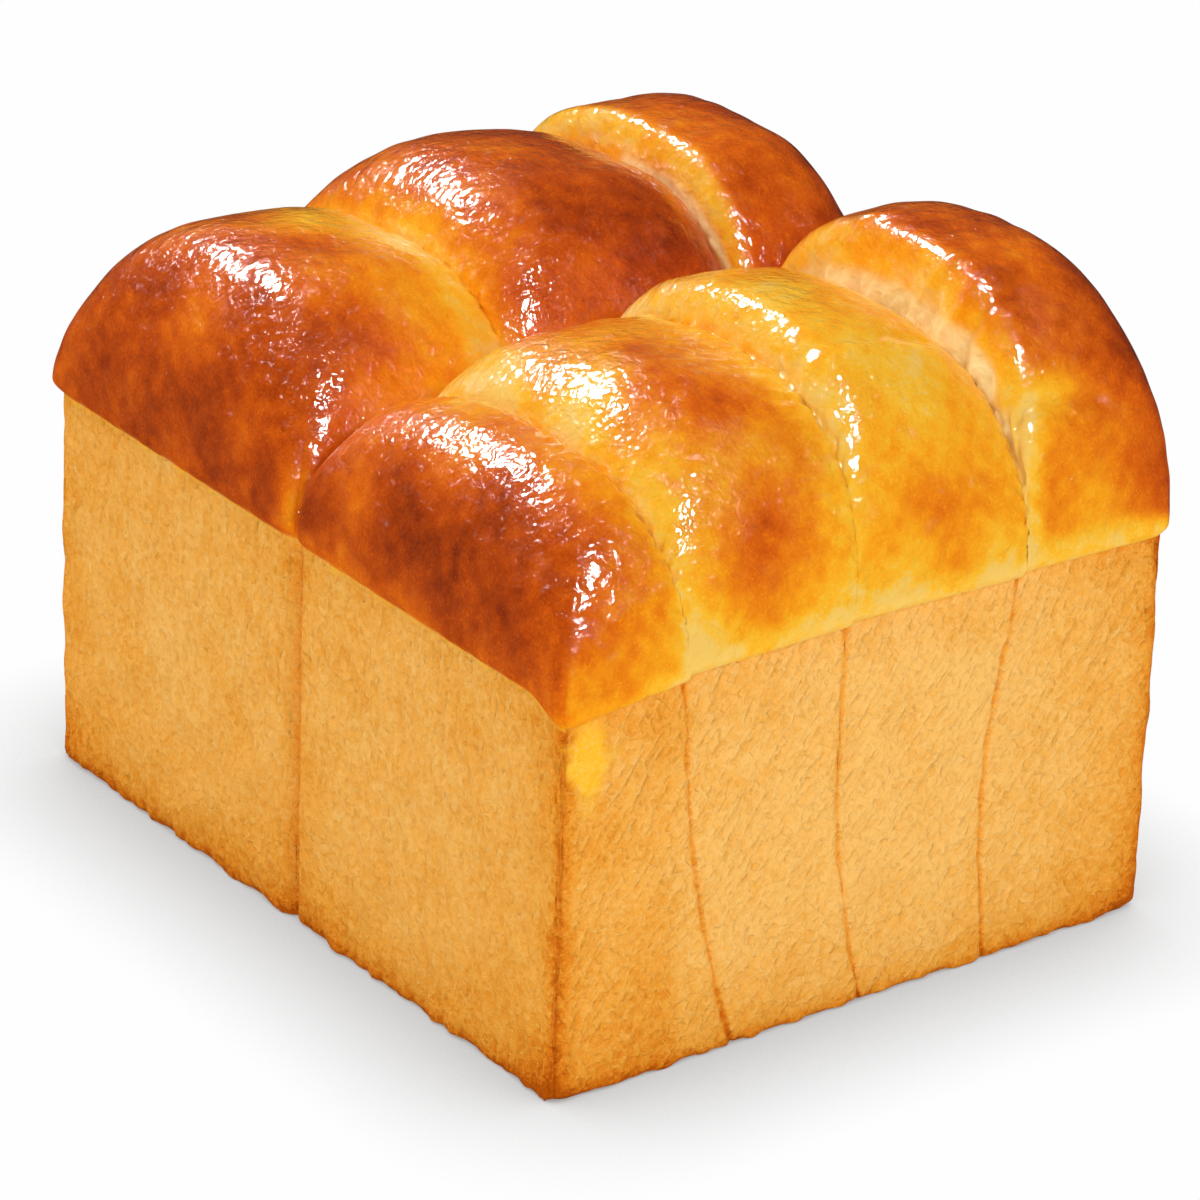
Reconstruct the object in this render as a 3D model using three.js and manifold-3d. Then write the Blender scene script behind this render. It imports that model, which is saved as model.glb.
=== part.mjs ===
// A milk loaf baked in a square tin: two rows of dough grown together side by side.
// The right row holds four domes and the left row three, all risen well above the tin's rim.
// Below the rim the loaf has the tin's flat walls, and above it the domes meet in creases.
// Units are millimetres. X runs along the rows, Y across them and Z up. The origin is the
// middle of the underside, on the surface that the loaf stands on.
import * as THREE from 'three';
import Module from 'manifold-3d';

// Driving dimensions of the whole loaf
const HALF_LENGTH = 100;
const ROW_WIDTH = 120;
const RIM_HEIGHT = 114;

// Where the two rows are pressed together they run into each other by this much each
const ROW_OVERLAP = 0.6;

// How square the side of a dome is: 2 is a quarter ellipse, more is boxier
const SEAM_POWER = 2;
const FRONT_END_POWER = 2.5;
const BACK_END_POWER = 4.2;

// Crust above the rim leans out over the wall, fully from here up, and no more by the fade height
const LEAN_START = 3;
const LEAN_FADE = 70;
const LEAN_REACH_IN = 22;
const END_LEAN = 1.8;

// Shallow groove that each seam leaves in the outer wall, and the dip it leaves in the valley
const WALL_GROOVE = 1.2;
const GROOVE_HALF_WIDTH = 2.5;
const VALLEY_DIP = 5;
const VALLEY_DIP_REACH = 12;

// Underside: rounded edge and the heights of the rings of points down the walls
const BASE_RADIUS = 2.5;
const WALL_LEVELS = [RIM_HEIGHT - 3, 84, 46, 16, BASE_RADIUS, 0.8, 0];

// How finely a row is divided along its length and across its arch
const STEPS_ALONG = 46;
const STEPS_ACROSS = 31;
const LIP_LINE = 2;
const CURVE_SAMPLES = 160;

// Each dome gives where its crest is along the row and how high it stands above the rim, and
// how square its front flank is where it rises steeply behind its neighbour.
// Each seam gives its place at the rim, its height above the rim, how far it shifts by the top of
// the arch, and how it wanders down the wall: a drift that grows to the floor and a sway between.
const RIGHT_ROW = {
  side: -1,
  crests: [
    { x: -68, height: 50.5 },
    { x: -35.5, height: 63.5 },
    { x: 1, height: 70.5 },
    { x: 59, height: 76.5, frontPower: 3 },
  ],
  seams: [
    { x: -61, height: 43.5, topShift: -5, drift: 20, sway: 0 },
    { x: -8, height: 58, topShift: 1.5, drift: 10, sway: -3.5 },
    { x: 50, height: 47, topShift: -1, drift: -6, sway: -8 },
  ],
  outerPower: 2.72,
  innerPower: 2.25,
  peakShare: 0.55,
  valleyHeight: 18,
  sideLean: 1.2,
  outerCorner: 4.5,
  innerCorner: 5,
};

const LEFT_ROW = {
  side: 1,
  crests: [{ x: -67.5, height: 59 }, { x: 0, height: 69 }, { x: 59, height: 67, frontPower: 2.8 }],
  seams: [
    { x: -27, height: 48, topShift: 1, drift: -4, sway: 3 },
    { x: 51, height: 49, topShift: 0.5, drift: 5, sway: -4 },
  ],
  outerPower: 2.94,
  innerPower: 1.85,
  peakShare: 0.35,
  valleyHeight: 11,
  sideLean: 3.4,
  outerCorner: 7,
  innerCorner: 8,
};

const smooth = (value) => {
  const t = THREE.MathUtils.clamp(value, 0, 1);
  return t * t * (3 - 2 * t);
};

const power = (value, exponent) => Math.sign(value) * Math.abs(value) ** exponent;

// Walks along a curve of samples and gives each one its distance from the start
function distances(samples, gap) {
  const result = [0];
  for (let i = 1; i < samples.length; i += 1) {
    result.push(result[i - 1] + gap(samples[i - 1], samples[i]));
  }
  return result;
}

// Reads a list of numbers at a distance between its samples
function readAt(lengths, values, distance) {
  let i = 1;
  while (i < lengths.length - 1 && lengths[i] < distance) i += 1;
  const span = lengths[i] - lengths[i - 1];
  const share = span > 0 ? THREE.MathUtils.clamp((distance - lengths[i - 1]) / span, 0, 1) : 0;
  return values[i - 1] + (values[i] - values[i - 1]) * share;
}

// Half a dome seen from the side, from its crest to the seam or the end wall beside it
function halfDome(crest, neighbour, squareness) {
  const samples = [];
  for (let i = 0; i <= CURVE_SAMPLES; i += 1) {
    const angle = (i / CURVE_SAMPLES) * (Math.PI / 2);
    const reach = Math.sin(angle) ** (2 / squareness);
    const lift = Math.cos(angle) ** (2 / squareness);
    samples.push({
      x: crest.x + (neighbour.x - crest.x) * reach,
      height: neighbour.height + (crest.height - neighbour.height) * lift,
      fullness: neighbour.height > 0 ? 1 : lift,
    });
  }
  return samples;
}

// The row's outline seen from the side: end wall, dome, seam, dome and so on to the other end
function sideOutline(row) {
  const front = { x: -HALF_LENGTH, height: 0 };
  const back = { x: HALF_LENGTH, height: 0 };
  const bounds = [front, ...row.seams, back];
  const outline = [];
  row.crests.forEach((crest, k) => {
    const frontPower = k === 0 ? FRONT_END_POWER : crest.frontPower ?? SEAM_POWER;
    const backPower = k === row.crests.length - 1 ? BACK_END_POWER : SEAM_POWER;
    const before = halfDome(crest, bounds[k], frontPower).reverse();
    const after = halfDome(crest, bounds[k + 1], backPower);
    outline.push(...(k === 0 ? before : before.slice(1)), ...after.slice(1));
  });
  return outline;
}

// Stations along the row, evenly spaced over the domes, with one exactly on every seam
function stationsAlong(row) {
  const outline = sideOutline(row);
  const lengths = distances(outline, (a, b) => Math.hypot(b.x - a.x, b.height - a.height));
  const total = lengths[lengths.length - 1];
  const seamMarks = row.seams.map((seam) => lengths[outline.findIndex((p) => p.x >= seam.x - 1e-9)]);
  const marks = [0, ...seamMarks, total];
  const stations = [];
  for (let k = 1; k < marks.length; k += 1) {
    const stretch = marks[k] - marks[k - 1];
    const count = Math.max(4, Math.round((stretch / total) * STEPS_ALONG));
    for (let i = k === 1 ? 0 : 1; i <= count; i += 1) {
      const distance = marks[k - 1] + (stretch * i) / count;
      const read = (key) => readAt(lengths, outline.map((p) => p[key]), distance);
      stations.push({ x: read('x'), height: read('height'), fullness: read('fullness') });
    }
  }
  return stations;
}

// Points across the row's arch from the outer rim over the peak and down to the valley.
// share is the part of the dome's height reached there, and y the distance from the valley.
function pointsAcross(row) {
  const peak = row.peakShare * ROW_WIDTH;
  const middle = row.crests[1].height;
  const samples = [];
  for (let i = 0; i <= 2 * CURVE_SAMPLES; i += 1) {
    const angle = (i / (2 * CURVE_SAMPLES)) * Math.PI;
    const inner = angle > Math.PI / 2;
    const exponent = 2 / (inner ? row.innerPower : row.outerPower);
    const reach = power(Math.cos(angle), exponent);
    const share = Math.sin(angle) ** exponent;
    const floor = inner ? row.valleyHeight : 0;
    samples.push({
      y: peak + (inner ? peak : ROW_WIDTH - peak) * reach,
      share,
      inner,
      z: floor + (middle - floor) * share,
    });
  }
  const lengths = distances(samples, (a, b) => Math.hypot(b.y - a.y, b.z - a.z));
  const total = lengths[lengths.length - 1];
  const marks = [0, LIP_LINE];
  for (let j = 1; j < STEPS_ACROSS; j += 1) marks.push((total * j) / (STEPS_ACROSS - 1));
  return marks.map((distance) => {
    const y = readAt(lengths, samples.map((p) => p.y), distance);
    return {
      y,
      share: readAt(lengths, samples.map((p) => p.share), distance),
      inner: y < peak,
      across: distance / total,
    };
  });
}

// Shift of the grid lines so that they follow the seams: full at a seam, fading to the next one
function seamShift(row, x, shiftOf) {
  const stops = [-HALF_LENGTH, ...row.seams.map((seam) => seam.x), HALF_LENGTH];
  const shifts = [0, ...row.seams.map(shiftOf), 0];
  return readAt(stops, shifts, x);
}

const nearestSeam = (row, x) => Math.min(...row.seams.map((seam) => Math.abs(seam.x - x)));

// Turns the square corners of a row, seen from above, into round ones
function roundCorner(row, x, y) {
  const outer = y > ROW_WIDTH / 2;
  const radius = outer ? row.outerCorner : row.innerCorner;
  const edgeY = outer ? ROW_WIDTH : -ROW_OVERLAP;
  const outward = outer ? 1 : -1;
  const alongX = Math.abs(x) - (HALF_LENGTH - radius);
  const alongY = outward * (y - edgeY) + radius;
  if (alongX <= 0 || alongY <= 0) return [x, y];
  const scale = Math.max(alongX, alongY) / Math.hypot(alongX, alongY);
  return [
    Math.sign(x) * (HALF_LENGTH - radius + alongX * scale),
    edgeY + outward * (alongY * scale - radius),
  ];
}

// One point of the risen crust
function crustPoint(row, station, point) {
  const dip = VALLEY_DIP * (1 - smooth(nearestSeam(row, station.x) / VALLEY_DIP_REACH));
  const valley = (row.valleyHeight - dip) * station.fullness;
  const floor = point.inner ? valley : 0;
  const above = floor + (station.height - floor) * point.share;
  const shift = seamShift(row, station.x, (seam) => seam.topShift);
  const squareY = point.across === 1 ? -ROW_OVERLAP : point.y;
  const drifted = station.x + shift * Math.sin(Math.PI * Math.min(point.across, 0.5));
  const [x, y] = roundCorner(row, drifted, squareY);
  const lean = smooth(above / LEAN_START) * (1 - smooth(above / LEAN_FADE));
  const nearSide = smooth((y - ROW_WIDTH + LEAN_REACH_IN) / LEAN_REACH_IN);
  const nearEnd = smooth((Math.abs(x) - HALF_LENGTH + LEAN_REACH_IN) / LEAN_REACH_IN);
  return [
    x + Math.sign(x) * END_LEAN * lean * nearEnd,
    y + row.sideLean * lean * nearSide,
    RIM_HEIGHT + above,
  ];
}

// One point of the wall below the rim, straight down from a place on the rim's outline
function wallPoint(row, station, point, z) {
  const down = 1 - z / RIM_HEIGHT;
  const wander = seamShift(row, station.x, (seam) => seam.drift * down ** 2 + seam.sway * Math.sin(Math.PI * down));
  const innerShift = seamShift(row, station.x, (seam) => seam.topShift);
  const onInner = point.across === 1;
  const plainX = station.x + (onInner ? innerShift : wander * (1 - point.across));
  const [x, y] = roundCorner(row, plainX, onInner ? -ROW_OVERLAP : point.y);
  const rise = Math.max(0, BASE_RADIUS - z);
  const inset = BASE_RADIUS - Math.sqrt(BASE_RADIUS ** 2 - rise ** 2);
  const groove = point.across === 0 ? WALL_GROOVE * (1 - smooth(nearestSeam(row, station.x) / GROOVE_HALF_WIDTH)) : 0;
  return [
    x * (1 - inset / HALF_LENGTH),
    y > 0 ? y * (1 - (inset + groove) / ROW_WIDTH) : y,
    z,
  ];
}

// The closed body of one row: a grid for the crust, rings down the walls and a flat underside
function rowGeometry(row) {
  const stations = stationsAlong(row);
  const across = pointsAcross(row);
  const positions = [];
  const triangles = [];
  const add = ([x, y, z]) => {
    positions.push(x, row.side * y, z);
    return positions.length / 3 - 1;
  };
  const face = (a, b, c) => triangles.push(...(row.side > 0 ? [a, b, c] : [a, c, b]));
  const quad = (a, b, c, d) => {
    face(a, b, c);
    face(a, c, d);
  };

  const crust = stations.map((station) => across.map((point) => add(crustPoint(row, station, point))));
  const lastStation = stations.length - 1;
  const lastPoint = across.length - 1;
  for (let i = 0; i < lastStation; i += 1) {
    for (let j = 0; j < lastPoint; j += 1) {
      quad(crust[i][j], crust[i][j + 1], crust[i + 1][j + 1], crust[i + 1][j]);
    }
  }

  const outline = [];
  for (let i = 0; i < lastStation; i += 1) outline.push([i, 0]);
  for (let j = 0; j < lastPoint; j += 1) outline.push([lastStation, j]);
  for (let i = lastStation; i > 0; i -= 1) outline.push([i, lastPoint]);
  for (let j = lastPoint; j > 0; j -= 1) outline.push([0, j]);

  let upper = outline.map(([i, j]) => crust[i][j]);
  for (const z of WALL_LEVELS) {
    const lower = outline.map(([i, j]) => add(wallPoint(row, stations[i], across[j], z)));
    outline.forEach((_, k) => {
      const next = (k + 1) % outline.length;
      quad(upper[k], upper[next], lower[next], lower[k]);
    });
    upper = lower;
  }
  const centre = add([0, ROW_WIDTH / 2, 0]);
  outline.forEach((_, k) => face(upper[k], upper[(k + 1) % outline.length], centre));

  const geometry = new THREE.BufferGeometry();
  geometry.setAttribute('position', new THREE.Float32BufferAttribute(positions, 3));
  geometry.setIndex(triangles);
  return geometry;
}

const wasm = await Module();
wasm.setup();

function toSolid(geometry) {
  return new wasm.Manifold(new wasm.Mesh({
    numProp: 3,
    vertProperties: new Float32Array(geometry.attributes.position.array),
    triVerts: new Uint32Array(geometry.index.array),
  }));
}

function toGeometry(solid) {
  const mesh = solid.getMesh();
  const geometry = new THREE.BufferGeometry();
  geometry.setAttribute('position', new THREE.BufferAttribute(mesh.vertProperties, 3));
  geometry.setIndex(new THREE.BufferAttribute(mesh.triVerts, 1));
  geometry.computeVertexNormals();
  return geometry;
}

// The two rows rise into each other, so the loaf is one piece
const bothRows = toSolid(rowGeometry(RIGHT_ROW)).add(toSolid(rowGeometry(LEFT_ROW)));

const bakedCrust = new THREE.MeshStandardMaterial({ color: 0xd08433, roughness: 0.45, metalness: 0 });
const loaf = new THREE.Mesh(toGeometry(bothRows), bakedCrust);
loaf.name = 'loaf';

const group = new THREE.Group();
group.add(loaf);

export default group;
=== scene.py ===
# %% [markdown]
# A milk loaf baked in a square tin, glazed with egg wash. Two rows of dough balls have grown
# together side by side: four domes on the right, three on the left. Below the tin's rim the
# walls are flat, dry and pale. Above it the domes are tight, glossy and unevenly browned.
# The script repeats the measured shape of the solid loaf on a much finer grid, adds the relief
# that an oven gives, and paints the browning from a few named levels for each dome.

# %% Load the frame
import math

import bpy
import numpy as np
from mathutils import Matrix, Vector


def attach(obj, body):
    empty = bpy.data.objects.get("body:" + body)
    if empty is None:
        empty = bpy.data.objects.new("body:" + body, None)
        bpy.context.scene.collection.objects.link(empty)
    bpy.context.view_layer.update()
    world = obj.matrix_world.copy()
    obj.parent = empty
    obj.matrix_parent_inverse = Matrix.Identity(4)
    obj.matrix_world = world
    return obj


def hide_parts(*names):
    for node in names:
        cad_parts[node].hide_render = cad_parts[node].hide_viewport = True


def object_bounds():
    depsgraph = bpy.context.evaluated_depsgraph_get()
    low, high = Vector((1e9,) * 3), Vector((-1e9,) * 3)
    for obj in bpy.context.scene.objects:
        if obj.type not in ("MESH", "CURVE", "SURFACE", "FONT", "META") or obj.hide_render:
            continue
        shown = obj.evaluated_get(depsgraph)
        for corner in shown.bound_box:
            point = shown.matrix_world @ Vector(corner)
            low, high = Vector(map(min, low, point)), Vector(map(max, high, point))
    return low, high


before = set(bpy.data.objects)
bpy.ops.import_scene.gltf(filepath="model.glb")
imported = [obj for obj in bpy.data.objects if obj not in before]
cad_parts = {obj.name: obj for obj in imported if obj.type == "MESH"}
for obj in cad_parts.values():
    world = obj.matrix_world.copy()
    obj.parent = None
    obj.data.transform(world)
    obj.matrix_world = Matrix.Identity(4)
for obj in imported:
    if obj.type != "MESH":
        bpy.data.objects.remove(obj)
cad_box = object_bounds()
print("solid loaf from", [round(v, 4) for v in cad_box[0]], "to", [round(v, 4) for v in cad_box[1]])

# %% [markdown]
# Lengths are millimetres until a mesh is made, because that is how a baker measures a tin.
# The sizes are those of the solid: the tin's inside, the rim, and for each row where its domes
# crest and where the seams between them run. Powers say how square a curve is: 2 is an ellipse.
# Heights are over the rim. A crest has its x, its height and how square its front flank is.

# %% Sizes of the loaf
MM = 0.001
HALF_LENGTH = 100
ROW_WIDTH = 120
RIM_HEIGHT = 114
ROW_OVERLAP = 0.6
SEAM_POWER = 2
BACK_END_POWER = 4.2
LEAN_START = 3
LEAN_FADE = 70
LEAN_REACH_IN = 22
END_LEAN = 1.8
WALL_GROOVE = 0.8
GROOVE_HALF_WIDTH = 1.4
VALLEY_DIP = 5
VALLEY_DIP_REACH = 12
BASE_RADIUS = 2.5

# A seam has its x at the rim, its height, its shift by the top of the arch, and its drift and
# sway on the way down the wall.
RIGHT_ROW = {
    "name": "right_row",
    "side": -1,
    "crests": [(-68, 50.5, 2.5), (-35.5, 63.5, 2), (1, 70.5, 2), (59, 76.5, 3)],
    "seams": [(-61, 43.5, -5, 20, 0), (-8, 58, 1.5, 10, -3.5), (50, 47, -1, -6, -8)],
    "outer_power": 2.72,
    "inner_power": 2.25,
    "peak_share": 0.55,
    "valley_height": 18,
    "side_lean": 1.2,
    "outer_corner": 4.5,
    "inner_corner": 5,
}
LEFT_ROW = {
    "name": "left_row",
    "side": 1,
    "crests": [(-67.5, 59, 2.5), (0, 69, 2), (59, 67, 2.8)],
    "seams": [(-27, 48, 1, -4, 3), (51, 49, 0.5, 5, -4)],
    "outer_power": 2.94,
    "inner_power": 1.85,
    "peak_share": 0.35,
    "valley_height": 11,
    "side_lean": 3.4,
    "outer_corner": 7,
    "inner_corner": 8,
}
ROWS = (RIGHT_ROW, LEFT_ROW)
print("rows of", [len(row["crests"]) for row in ROWS], "domes")

# %% [markdown]
# Seen from the side a row is a chain of half domes. Each runs from a crest down to the seam or
# the end wall beside it. Stations are then spread along that outline by its length, so that the
# steep flanks beside a seam get as many points as the flat tops. Each station knows its dome,
# how far past the seam before it lies, how far the nearest seam is, and its place on the dome:
# -1 at the seam before it, 0 at the crest and 1 at the seam behind.

# %% Stations along a row
STEPS_ALONG = 262
CURVE_SAMPLES = 161


def smooth(value):
    t = np.clip(value, 0, 1)
    return t * t * (3 - 2 * t)


def lengths_of(*columns):
    steps = np.sqrt(sum(np.diff(column) ** 2 for column in columns))
    return np.concatenate([[0], np.cumsum(steps)])


def half_dome(crest, neighbour, squareness):
    angle = np.linspace(0, math.pi / 2, CURVE_SAMPLES)
    reach = np.sin(angle) ** (2 / squareness)
    lift = np.clip(np.cos(angle), 0, 1) ** (2 / squareness)
    x = crest[0] + (neighbour[0] - crest[0]) * reach
    height = neighbour[1] + (crest[1] - neighbour[1]) * lift
    fullness = np.ones_like(lift) if neighbour[1] > 0 else lift
    return np.stack([x, height, fullness])


def stations_along(row):
    bounds = [(-HALF_LENGTH, 0)] + [seam[:2] for seam in row["seams"]] + [(HALF_LENGTH, 0)]
    halves = []
    last = len(row["crests"]) - 1
    for k, crest in enumerate(row["crests"]):
        before = half_dome(crest, bounds[k], crest[2])
        after = half_dome(crest, bounds[k + 1], BACK_END_POWER if k == last else SEAM_POWER)
        halves.append((before[:, ::-1], after))
    outline = np.concatenate([half[:, :-1] for pair in halves for half in pair], axis=1)
    outline = np.concatenate([outline, halves[-1][1][:, -1:]], axis=1)
    total = lengths_of(outline[0], outline[1])
    seam_marks = [np.interp(seam[0], outline[0], total) for seam in row["seams"]]
    crest_marks = [np.interp(crest[0], outline[0], total) for crest in row["crests"]]
    marks = [0, *seam_marks, total[-1]]
    distances = [0.0]
    past = [0.0]
    dome = [0]
    place = [-1.0]
    for k in range(1, len(marks)):
        count = round((marks[k] - marks[k - 1]) / total[-1] * STEPS_ALONG)
        stretch = np.linspace(marks[k - 1], marks[k], count + 1)[1:]
        distances.extend(stretch)
        past.extend(stretch - marks[k - 1])
        dome.extend([k - 1] * count)
        place.extend(np.interp(stretch, [marks[k - 1], crest_marks[k - 1], marks[k]], [-1, 0, 1]))
    x, height, fullness = (np.interp(distances, total, values) for values in outline)
    seam_reach = np.min([np.abs(np.array(distances) - mark) for mark in seam_marks], axis=0)
    return {
        "x": x,
        "past": np.array(past),
        "seam_reach": seam_reach,
        "height": height,
        "fullness": fullness,
        "dome": np.array(dome),
        "place": np.array(place),
    }


print("stations:", [len(stations_along(row)["x"]) for row in ROWS])

# %% [markdown]
# Seen from the end a row is an arch, squarer on its outer side, where the dough pressed against
# the tin. The first few points lie close together for the lip, where dough swelled over the
# rim: its underside needs a fine curve, as its shadow line is the sharpest edge on the loaf.

# %% Points across a row
STEPS_ACROSS = 166
LIP_MARKS = [0, 0.35, 0.8, 1.4, 2.1, 3, 4, 5.1, 6.3]
ARCH_SAMPLES = 641


def points_across(row):
    peak = row["peak_share"] * ROW_WIDTH
    middle = row["crests"][1][1]
    angle = np.linspace(0, math.pi, ARCH_SAMPLES)
    inner = angle > math.pi / 2
    exponent = np.where(inner, 2 / row["inner_power"], 2 / row["outer_power"])
    reach = np.sign(np.cos(angle)) * np.abs(np.cos(angle)) ** exponent
    share = np.clip(np.sin(angle), 0, 1) ** exponent
    y = peak + np.where(inner, peak, ROW_WIDTH - peak) * reach
    floor = np.where(inner, row["valley_height"], 0)
    total = lengths_of(y, floor + (middle - floor) * share)
    even = np.linspace(LIP_MARKS[-1], total[-1], STEPS_ACROSS)[1:]
    arc = np.concatenate([LIP_MARKS, even])
    across_y = np.interp(arc, total, y)
    return {
        "y": across_y,
        "share": np.interp(arc, total, share),
        "inner": across_y < peak,
        "across": arc / total[-1],
        "arc": arc,
    }


print("points over an arch:", len(points_across(RIGHT_ROW)["y"]))

# %% [markdown]
# The crust is the grid of stations by arch points. Seams don't run straight over the arch, so
# the grid lines shift along the row, full at a seam and fading to the next one. Square corners
# are rounded as seen from above, and the crust leans out a little over the wall, as it rose
# past the rim and spread.

# %% The smooth crust
def shifted_by(row, x, seam_shifts):
    stops = [-HALF_LENGTH] + [seam[0] for seam in row["seams"]] + [HALF_LENGTH]
    return np.interp(x, stops, [0, *seam_shifts, 0])


def seam_distance(row, x):
    return np.min([np.abs(x - seam[0]) for seam in row["seams"]], axis=0)


def round_corner(row, x, y):
    outer = y > ROW_WIDTH / 2
    radius = np.where(outer, row["outer_corner"], row["inner_corner"])
    edge_y = np.where(outer, ROW_WIDTH, -ROW_OVERLAP)
    outward = np.where(outer, 1, -1)
    along_x = np.abs(x) - (HALF_LENGTH - radius)
    along_y = outward * (y - edge_y) + radius
    in_corner = (along_x > 0) & (along_y > 0)
    hypotenuse = np.maximum(np.hypot(along_x, along_y), 1e-9)
    scale = np.maximum(along_x, along_y) / hypotenuse
    round_x = np.sign(x) * (HALF_LENGTH - radius + along_x * scale)
    round_y = edge_y + outward * (along_y * scale - radius)
    return np.where(in_corner, round_x, x), np.where(in_corner, round_y, y)


def crust_grid(row, station, point):
    x_line = station["x"][:, None]
    fullness = station["fullness"][:, None]
    dip = VALLEY_DIP * (1 - smooth(seam_distance(row, x_line) / VALLEY_DIP_REACH))
    valley = (row["valley_height"] - dip) * fullness
    floor = np.where(point["inner"], valley, 0)
    above = floor + (station["height"][:, None] - floor) * point["share"]
    shift = shifted_by(row, x_line, [seam[2] for seam in row["seams"]])
    drifted = x_line + shift * np.sin(math.pi * np.minimum(point["across"], 0.5))
    square_y = np.where(point["across"] == 1, -ROW_OVERLAP, point["y"]) + 0 * drifted
    x, y = round_corner(row, drifted, square_y)
    lean = np.sin(np.clip(above / LEAN_START, 0, 1) * math.pi / 2) * (1 - smooth(above / LEAN_FADE))
    near_side = smooth((y - ROW_WIDTH + LEAN_REACH_IN) / LEAN_REACH_IN)
    near_end = smooth((np.abs(x) - HALF_LENGTH + LEAN_REACH_IN) / LEAN_REACH_IN)
    x = x + np.sign(x) * END_LEAN * lean * near_end
    y = y + row["side_lean"] * lean * near_side
    return np.stack([x, y, RIM_HEIGHT + above], axis=-1)


for row in ROWS:
    smooth_crust = crust_grid(row, stations_along(row), points_across(row))
    print(row["name"], "rises to", round(float(smooth_crust[..., 2].max()), 1), "mm")

# %% [markdown]
# The walls are rings of points that go down from the crust's edge. Below the swollen lip the
# wall sits back by almost two millimetres, which draws the thin dark line under the crust. Each
# seam leaves a narrow groove that wanders down the wall, and the bottom edge is rounded.

# %% The walls
LIP_UNDERCUT = 1.9
LIP_EDGE = 0.7
UNDERCUT_DEPTH = 16
UNDERCUT_SHARE = 0.02
WALL_STEP = 2.4
NEAR_RIM = [0.5, 1.1, 1.8, 2.8, 4.2]
NEAR_BASE = [2.5, 1.9, 1.3, 0.8, 0.4, 0.1, 0]


def wall_levels():
    top = RIM_HEIGHT - NEAR_RIM[-1]
    count = round((top - NEAR_BASE[0]) / WALL_STEP)
    middle = np.linspace(top, NEAR_BASE[0], count + 1)[1:-1]
    return np.concatenate([RIM_HEIGHT - np.array(NEAR_RIM), middle, NEAR_BASE])


def wall_ring(row, x, point_y, across, z):
    down = 1 - z / RIM_HEIGHT
    wander_of = [seam[3] * down**2 + seam[4] * math.sin(math.pi * down) for seam in row["seams"]]
    wander = shifted_by(row, x, wander_of) * (1 - across)
    inner_shift = shifted_by(row, x, [seam[2] for seam in row["seams"]])
    on_inner = across == 1
    plain_x = x + np.where(on_inner, inner_shift, wander)
    ring_x, ring_y = round_corner(row, plain_x, np.where(on_inner, -ROW_OVERLAP, point_y))
    rise = max(0, BASE_RADIUS - z)
    inset = BASE_RADIUS - math.sqrt(BASE_RADIUS**2 - rise**2)
    groove = WALL_GROOVE * (1 - smooth(seam_distance(row, x) / GROOVE_HALF_WIDTH))
    groove = np.where(across == 0, groove, 0)
    below = RIM_HEIGHT - z
    undercut = LIP_UNDERCUT * smooth(below / LIP_EDGE) * (1 - smooth(below / UNDERCUT_DEPTH))
    groove = groove + np.where(across < UNDERCUT_SHARE, undercut, 0)
    out_y = np.where(ring_y > 0, ring_y * (1 - (inset + groove) / ROW_WIDTH), ring_y)
    return np.stack([ring_x * (1 - inset / HALF_LENGTH), out_y, np.full_like(x, z)], axis=-1)


print("rings down a wall:", len(wall_levels()))

# %% [markdown]
# Real dough is never as even as these formulas. Relief comes from sums of many plane waves of
# about one length, in random directions from a fixed seed: each sum is a smooth random field
# with lumps of a chosen size, and stretching space first makes folds and streaks of it. Each
# use has its own seed.

# %% Random relief of a chosen size
WAVES = 36
WAVE_SPREAD = (0.75, 1.35)
SEEDS = {
    "broad": 11, "medium": 12, "pucker": 13, "crumb": 14, "flank": 15,
    "waver": 21, "streak": 22, "foot": 23,
    "blotch": 31, "mottle": 32, "rim_line": 33, "toast": 34,
}


def lumps(points, size, seed, stretch=(1, 1, 1)):
    rng = np.random.default_rng(seed)
    directions = rng.normal(size=(WAVES, 3))
    directions /= np.linalg.norm(directions, axis=1, keepdims=True)
    wavelengths = size * rng.uniform(*WAVE_SPREAD, WAVES)
    phases = rng.uniform(0, 2 * math.pi, WAVES)
    waves = (directions / wavelengths[:, None]).T * 2 * math.pi
    angles = (points / np.array(stretch)) @ waves + phases
    return np.sin(angles).sum(axis=-1) / math.sqrt(WAVES / 2)


test_field = lumps(np.random.default_rng(0).uniform(0, 100, (2000, 3)), 10, 1)
print("relief field spreads", round(float(test_field.std()), 2))

# %% [markdown]
# Browning follows the heat: a dome is darkest where it faced the oven's hot end and on its top,
# and stays yellow in the seams and on the lip, where two balls of dough touched or the tin
# shaded them. Each dome has eight levels along the row, from the seam or wall before it over its
# crest to the one behind, and seven over the arch, from the lip to the valley, which are added.
# 0 is pale cream and 1 mahogany. Patches add a spot on a dome: distance past the seam before it,
# distance over the arch, half length, half width and how much browner. A dome's lip is the share
# of its browning that is left on the swollen band at the rim. Blotches and mottles are
# relief-like noise, as (size, how much browner).

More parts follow.
